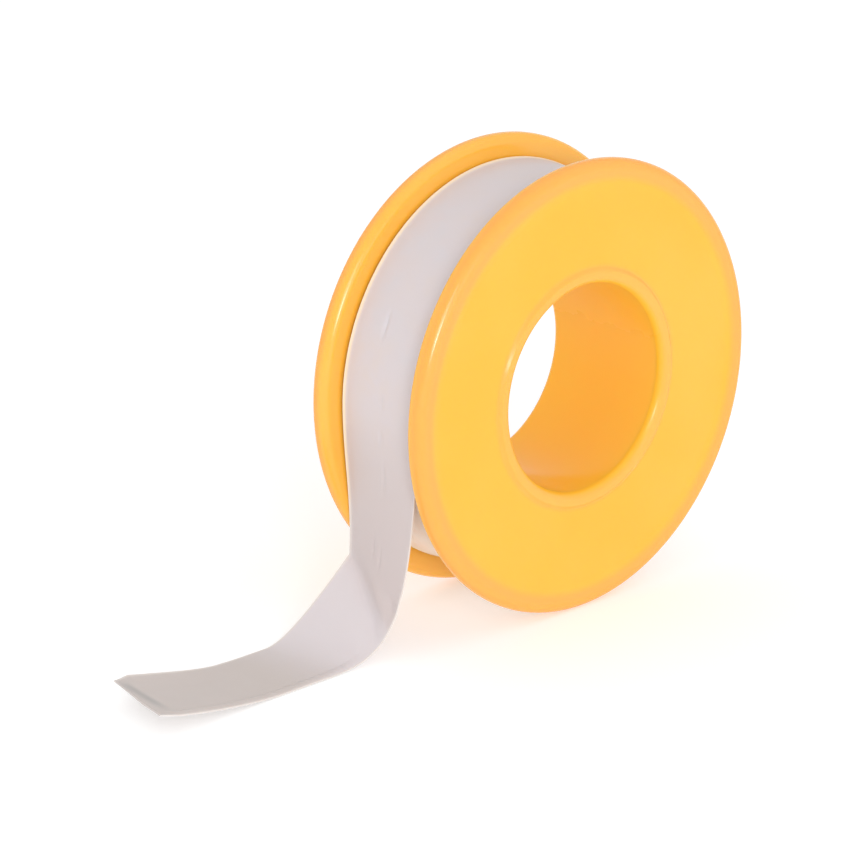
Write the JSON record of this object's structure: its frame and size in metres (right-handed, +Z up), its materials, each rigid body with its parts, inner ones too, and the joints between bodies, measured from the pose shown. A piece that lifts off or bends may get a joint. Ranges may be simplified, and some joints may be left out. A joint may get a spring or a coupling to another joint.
{
  "type": "thread seal tape roll",
  "caption": "Flanged reel with a wide bore, wound with thread seal tape whose free end is drawn out flat; the reel turns as the tape is pulled off.",
  "frame": {"origin": "middle of the bore, half-way between the two flanges", "axes": "+Y along the bore from the front flange to the rear flange, +Z up from the surface the roll stands on, -X the way the tail is drawn out"},
  "size_m": [0.0851, 0.0176, 0.052],
  "materials": {
    "reel": "smooth amber yellow moulding, slightly translucent",
    "tape": "soft matt white film"
  },
  "bodies": {
    "tape_lead": {"tape_outer_turn": "tape", "tape_drop": "tape", "tape_run": "tape"},
    "reel": {"rear_reel_half": "reel", "front_reel_half": "reel", "tape_pack": "tape"},
    "tape_end": {"tape_end": "tape"}
  },
  "joints": [
    {"name": "reel_spin", "type": "hinge", "parent": "tape_lead", "child": "reel", "pos_m": [0, 0, 0], "axis": [0, -1, 0], "range_deg": [0, 360]},
    {"name": "tape_pull", "type": "slide", "parent": "tape_lead", "child": "tape_end", "axis": [-1, 0, 0], "range_m": [0, 0.147], "deforming": ["tape_run"]}
  ],
  "couplings": [
    {"joint": "tape_pull", "follows": "reel_spin", "m_per_rad": 0.0233}
  ]
}
